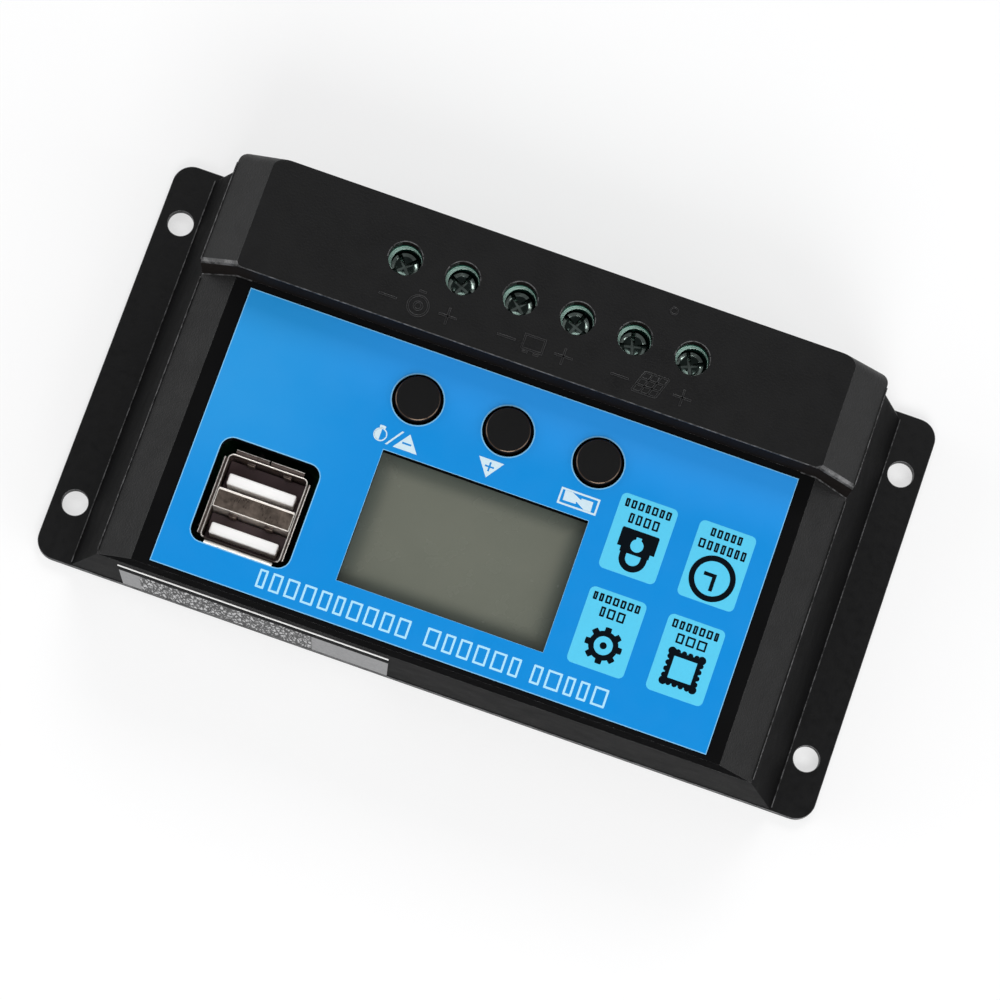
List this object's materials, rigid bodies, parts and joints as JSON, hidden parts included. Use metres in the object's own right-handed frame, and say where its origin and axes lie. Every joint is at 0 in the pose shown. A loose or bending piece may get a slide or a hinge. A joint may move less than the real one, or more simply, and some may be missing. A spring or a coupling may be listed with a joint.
{
  "type": "solar charge controller",
  "caption": "Wall-mounted solar charge controller: black eared case with a raised screw-terminal band, blue face label, display, push buttons and a double charging socket.",
  "frame": {"origin": "centre of the mounting plate's back face", "axes": "+Z out of the face towards the reader, +X along the case towards the charging socket, -Y towards the wire entries"},
  "size_m": [0.1334, 0.07, 0.035],
  "materials": {
    "painted_plate": "black powder coat, satin",
    "case_plastic": "black ABS with a fine moulded grain",
    "blue_label": "blue printed polycarbonate film, satin",
    "silver_sticker": "silver woven-pattern film",
    "steel_screw": "nickel plated",
    "circuit_board": "green solder mask",
    "dark_moulding": "black glass-filled moulding",
    "contact_metal": "plain brass",
    "light_guide": "milky acrylic",
    "display_film": "grey-green polariser",
    "display_glass": "clear display glass",
    "tinned_metal": "tin plated",
    "socket_shell": "nickel plated strip, slightly warm",
    "white_moulding": "white nylon",
    "bare_aluminium": "extruded, unpolished",
    "thermal_pad": "soft grey-blue silicone",
    "capacitor_sleeve": "shrunk dark blue sleeve",
    "ferrite": "dull grey ferrite",
    "copper_wire": "enamelled copper",
    "button_plastic": "black, fine grain",
    "stem_plastic": "red moulding",
    "green_block": "dark green polyamide"
  },
  "bodies": {
    "case": {"mounting_plate": "painted_plate", "tray": "case_plastic", "cover": "case_plastic", "face_label": "blue_label", "front_sticker": "silver_sticker", "case_screws": "steel_screw", "main_board": "circuit_board", "display_board": "circuit_board", "display_screws": "steel_screw", "header_strips": "dark_moulding", "header_pins": "contact_metal", "lcd_backlight": "light_guide", "lcd_polarisers": "display_film", "lcd_cell": "display_glass", "lcd_pins": "tinned_metal", "switch_bodies": "dark_moulding", "switch_legs": "tinned_metal", "usb_shell": "socket_shell", "usb_base": "dark_moulding", "usb_tongues": "white_moulding", "usb_contacts": "contact_metal", "contact_bars": "contact_metal", "mosfets": "dark_moulding", "mosfet_tabs": "tinned_metal", "heat_bar": "bare_aluminium", "thermal_pad": "thermal_pad", "capacitors": "capacitor_sleeve", "capacitor_tops": "bare_aluminium", "inductor_core": "ferrite", "inductor_winding": "copper_wire", "microcontroller": "dark_moulding", "power_chip": "dark_moulding", "diode": "dark_moulding", "shunt": "copper_wire", "terminal_block_load": "green_block", "terminal_block_battery": "green_block", "terminal_block_solar": "green_block"},
    "button_minus": {"button_cap_minus": "button_plastic", "switch_stem_minus": "stem_plastic"},
    "button_plus": {"button_cap_plus": "button_plastic", "switch_stem_plus": "stem_plastic"},
    "button_type": {"button_cap_type": "button_plastic", "switch_stem_type": "stem_plastic"},
    "screw_load_minus": {"screw_load_minus": "steel_screw"},
    "clamp_load_minus": {"clamp_load_minus": "tinned_metal"},
    "screw_load_plus": {"screw_load_plus": "steel_screw"},
    "clamp_load_plus": {"clamp_load_plus": "tinned_metal"},
    "screw_battery_minus": {"screw_battery_minus": "steel_screw"},
    "clamp_battery_minus": {"clamp_battery_minus": "tinned_metal"},
    "screw_battery_plus": {"screw_battery_plus": "steel_screw"},
    "clamp_battery_plus": {"clamp_battery_plus": "tinned_metal"},
    "screw_solar_minus": {"screw_solar_minus": "steel_screw"},
    "clamp_solar_minus": {"clamp_solar_minus": "tinned_metal"},
    "screw_solar_plus": {"screw_solar_plus": "steel_screw"},
    "clamp_solar_plus": {"clamp_solar_plus": "tinned_metal"}
  },
  "joints": [
    {"name": "press_minus", "type": "slide", "parent": "case", "child": "button_minus", "axis": [0, 0, -1], "range_m": [0, 0.0005], "stiffness_N_per_m": 2000, "springref_m": -0.0002},
    {"name": "press_plus", "type": "slide", "parent": "case", "child": "button_plus", "axis": [0, 0, -1], "range_m": [0, 0.0005], "stiffness_N_per_m": 2000, "springref_m": -0.0002},
    {"name": "press_type", "type": "slide", "parent": "case", "child": "button_type", "axis": [0, 0, -1], "range_m": [0, 0.0005], "stiffness_N_per_m": 2000, "springref_m": -0.0002},
    {"name": "turn_load_minus", "type": "hinge", "parent": "case", "child": "screw_load_minus", "pos_m": [0.02375, -0.0233, 0.028], "axis": [0, 0, -1], "range_deg": [0, 1800]},
    {"name": "rise_load_minus", "type": "slide", "parent": "case", "child": "clamp_load_minus", "axis": [0, 0, 1], "range_m": [0, 0.003]},
    {"name": "turn_load_plus", "type": "hinge", "parent": "case", "child": "screw_load_plus", "pos_m": [0.01425, -0.0233, 0.028], "axis": [0, 0, -1], "range_deg": [0, 1800]},
    {"name": "rise_load_plus", "type": "slide", "parent": "case", "child": "clamp_load_plus", "axis": [0, 0, 1], "range_m": [0, 0.003]},
    {"name": "turn_battery_minus", "type": "hinge", "parent": "case", "child": "screw_battery_minus", "pos_m": [0.00475, -0.0233, 0.028], "axis": [0, 0, -1], "range_deg": [0, 1800]},
    {"name": "rise_battery_minus", "type": "slide", "parent": "case", "child": "clamp_battery_minus", "axis": [0, 0, 1], "range_m": [0, 0.003]},
    {"name": "turn_battery_plus", "type": "hinge", "parent": "case", "child": "screw_battery_plus", "pos_m": [-0.00475, -0.0233, 0.028], "axis": [0, 0, -1], "range_deg": [0, 1800]},
    {"name": "rise_battery_plus", "type": "slide", "parent": "case", "child": "clamp_battery_plus", "axis": [0, 0, 1], "range_m": [0, 0.003]},
    {"name": "turn_solar_minus", "type": "hinge", "parent": "case", "child": "screw_solar_minus", "pos_m": [-0.01425, -0.0233, 0.028], "axis": [0, 0, -1], "range_deg": [0, 1800]},
    {"name": "rise_solar_minus", "type": "slide", "parent": "case", "child": "clamp_solar_minus", "axis": [0, 0, 1], "range_m": [0, 0.003]},
    {"name": "turn_solar_plus", "type": "hinge", "parent": "case", "child": "screw_solar_plus", "pos_m": [-0.02375, -0.0233, 0.028], "axis": [0, 0, -1], "range_deg": [0, 1800]},
    {"name": "rise_solar_plus", "type": "slide", "parent": "case", "child": "clamp_solar_plus", "axis": [0, 0, 1], "range_m": [0, 0.003]}
  ],
  "couplings": [
    {"joint": "turn_load_minus", "follows": "rise_load_minus", "rad_per_m": 10472},
    {"joint": "turn_load_plus", "follows": "rise_load_plus", "rad_per_m": 10472},
    {"joint": "turn_battery_minus", "follows": "rise_battery_minus", "rad_per_m": 10472},
    {"joint": "turn_battery_plus", "follows": "rise_battery_plus", "rad_per_m": 10472},
    {"joint": "turn_solar_minus", "follows": "rise_solar_minus", "rad_per_m": 10472},
    {"joint": "turn_solar_plus", "follows": "rise_solar_plus", "rad_per_m": 10472}
  ]
}
